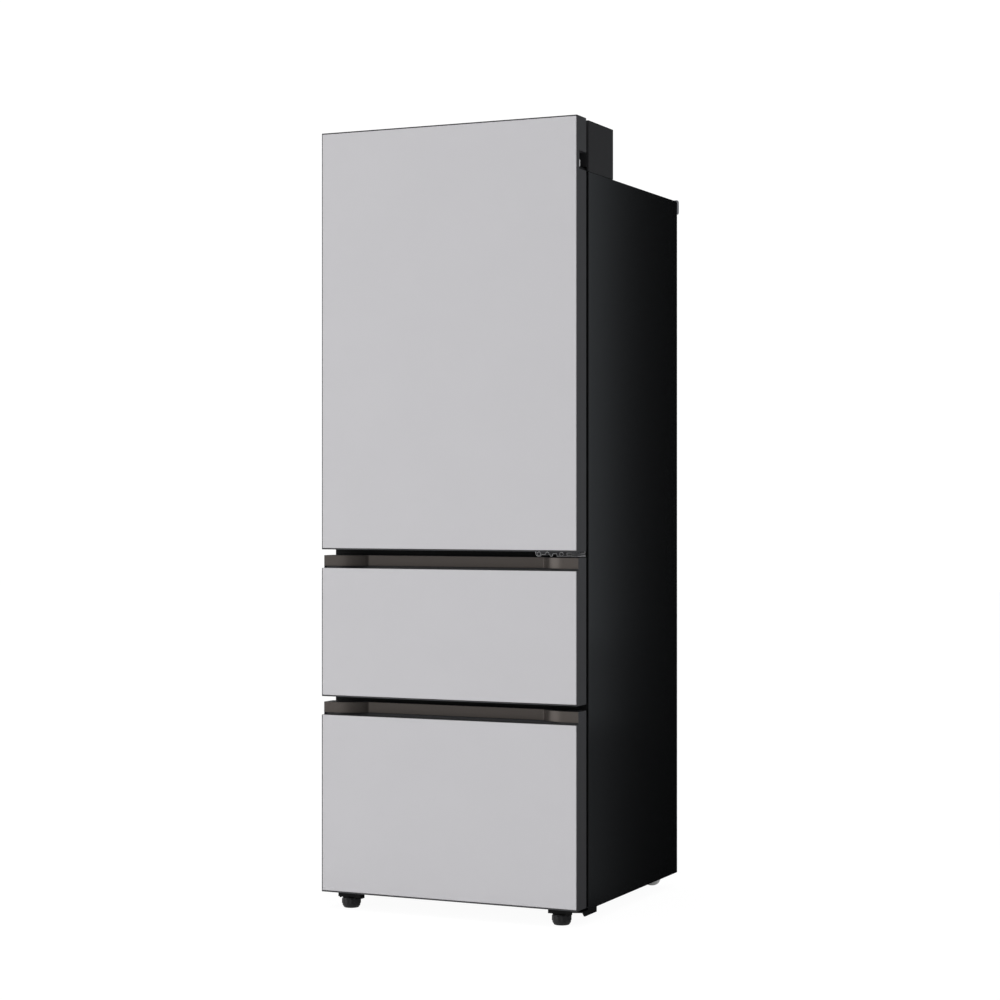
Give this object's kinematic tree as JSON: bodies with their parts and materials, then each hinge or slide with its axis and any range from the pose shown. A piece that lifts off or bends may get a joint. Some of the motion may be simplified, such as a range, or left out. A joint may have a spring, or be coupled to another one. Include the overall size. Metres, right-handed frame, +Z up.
{
  "type": "kimchi refrigerator",
  "caption": "Tall free-standing kimchi refrigerator with a hinged upper door over pull-out drawers with pocket grips, light front panels and a dark cabinet.",
  "frame": {"origin": "centre of the bounding box on the floor", "axes": "+X to the right seen from the front, +Y to the back, +Z up"},
  "size_m": [0.666, 0.677, 1.866],
  "materials": {
    "front_panel": "matte",
    "front_frame": "satin",
    "grip_metal": "satin",
    "case_paint": "gloss",
    "black_plastic": "matte",
    "base_paint": "satin",
    "galvanised_sheet": "satin",
    "foam": "matte",
    "liner_plastic": "satin",
    "seal_rubber": "matte",
    "spacer_plastic": "matte",
    "bright_steel": "satin",
    "coil_metal": "satin",
    "compressor_enamel": "satin",
    "shelf_glass": "gloss",
    "bin_plastic": "satin",
    "container_plastic": "gloss",
    "lid_plastic": "satin",
    "basket_plastic": "gloss",
    "foot_plastic": "matte",
    "roller_nylon": "matte"
  },
  "bodies": {
    "cabinet": {"outer_case": "case_paint", "top_cover": "black_plastic", "drain_tray": "black_plastic", "cord_inlet": "black_plastic", "control_panel": "black_plastic", "base_pan": "base_paint", "top_hinge": "base_paint", "middle_hinge": "base_paint", "back_panel": "galvanised_sheet", "machine_cover": "galvanised_sheet", "insulation_foam": "foam", "upper_liner": "liner_plastic", "middle_liner": "liner_plastic", "lower_liner": "liner_plastic", "evaporator_cover": "liner_plastic", "rear_spacer_left": "spacer_plastic", "rear_spacer_right": "spacer_plastic", "middle_runner_fixed_left": "bright_steel", "middle_runner_fixed_right": "bright_steel", "lower_runner_fixed_left": "bright_steel", "lower_runner_fixed_right": "bright_steel", "condenser": "coil_metal", "evaporator": "coil_metal", "compressor": "compressor_enamel", "lower_shelf": "shelf_glass", "upper_shelf": "shelf_glass"},
    "upper_door": {"upper_door_panel": "front_panel", "upper_door_frame": "front_frame", "upper_door_liner": "liner_plastic", "upper_door_seal": "seal_rubber", "upper_door_basket": "basket_plastic", "lower_door_basket": "basket_plastic"},
    "middle_drawer": {"middle_drawer_panel": "front_panel", "middle_drawer_frame": "front_frame", "middle_drawer_grip": "grip_metal", "middle_drawer_liner": "liner_plastic", "middle_drawer_seal": "seal_rubber", "middle_drawer_carrier": "bright_steel", "middle_drawer_bin": "bin_plastic", "kimchi_container_left": "container_plastic", "kimchi_container_right": "container_plastic", "kimchi_lid_left": "lid_plastic", "kimchi_lid_right": "lid_plastic"},
    "lower_drawer": {"lower_drawer_panel": "front_panel", "lower_drawer_frame": "front_frame", "lower_drawer_grip": "grip_metal", "lower_drawer_liner": "liner_plastic", "lower_drawer_seal": "seal_rubber", "lower_drawer_carrier": "bright_steel", "lower_drawer_bin": "bin_plastic"},
    "middle_slide_left": {"middle_runner_middle_left": "bright_steel"},
    "middle_slide_right": {"middle_runner_middle_right": "bright_steel"},
    "lower_slide_left": {"lower_runner_middle_left": "bright_steel"},
    "lower_slide_right": {"lower_runner_middle_right": "bright_steel"},
    "foot_left": {"foot_left": "foot_plastic"},
    "roller_left": {"roller_left": "roller_nylon"},
    "foot_right": {"foot_right": "foot_plastic"},
    "roller_right": {"roller_right": "roller_nylon"},
    "condenser_fan": {"condenser_fan": "black_plastic"},
    "evaporator_fan": {"evaporator_fan": "black_plastic"}
  },
  "joints": [
    {"name": "upper_door_hinge", "type": "hinge", "parent": "cabinet", "child": "upper_door", "pos_m": [0.316, -0.3045, 0.864], "axis": [0, 0, 1], "range_deg": [0, 110]},
    {"name": "middle_drawer_slide", "type": "slide", "parent": "cabinet", "child": "middle_drawer", "axis": [0, -1, 0], "range_m": [0, 0.43]},
    {"name": "lower_drawer_slide", "type": "slide", "parent": "cabinet", "child": "lower_drawer", "axis": [0, -1, 0], "range_m": [0, 0.43]},
    {"name": "middle_runner_left_slide", "type": "slide", "parent": "cabinet", "child": "middle_slide_left", "axis": [0, -1, 0], "range_m": [0, 0.215]},
    {"name": "middle_runner_right_slide", "type": "slide", "parent": "cabinet", "child": "middle_slide_right", "axis": [0, -1, 0], "range_m": [0, 0.215]},
    {"name": "lower_runner_left_slide", "type": "slide", "parent": "cabinet", "child": "lower_slide_left", "axis": [0, -1, 0], "range_m": [0, 0.215]},
    {"name": "lower_runner_right_slide", "type": "slide", "parent": "cabinet", "child": "lower_slide_right", "axis": [0, -1, 0], "range_m": [0, 0.215]},
    {"name": "foot_left_turn", "type": "hinge", "parent": "cabinet", "child": "foot_left", "pos_m": [-0.276, -0.2935, 0], "axis": [0, 0, 1], "continuous": true},
    {"name": "roller_left_roll", "type": "hinge", "parent": "cabinet", "child": "roller_left", "pos_m": [-0.274, 0.2975, 0.025], "axis": [1, 0, 0], "continuous": true},
    {"name": "foot_right_turn", "type": "hinge", "parent": "cabinet", "child": "foot_right", "pos_m": [0.276, -0.2935, 0], "axis": [0, 0, 1], "continuous": true},
    {"name": "roller_right_roll", "type": "hinge", "parent": "cabinet", "child": "roller_right", "pos_m": [0.274, 0.2975, 0.025], "axis": [1, 0, 0], "continuous": true},
    {"name": "condenser_fan_spin", "type": "hinge", "parent": "cabinet", "child": "condenser_fan", "pos_m": [0.03, 0.2285, 0.1315], "axis": [1, 0, 0], "continuous": true},
    {"name": "evaporator_fan_spin", "type": "hinge", "parent": "cabinet", "child": "evaporator_fan", "pos_m": [0, 0.2215, 1.48], "axis": [0, 1, 0], "continuous": true}
  ],
  "couplings": [
    {"joint": "middle_runner_left_slide", "follows": "middle_drawer_slide", "ratio": 0.5},
    {"joint": "middle_runner_right_slide", "follows": "middle_drawer_slide", "ratio": 0.5},
    {"joint": "lower_runner_left_slide", "follows": "lower_drawer_slide", "ratio": 0.5},
    {"joint": "lower_runner_right_slide", "follows": "lower_drawer_slide", "ratio": 0.5}
  ]
}
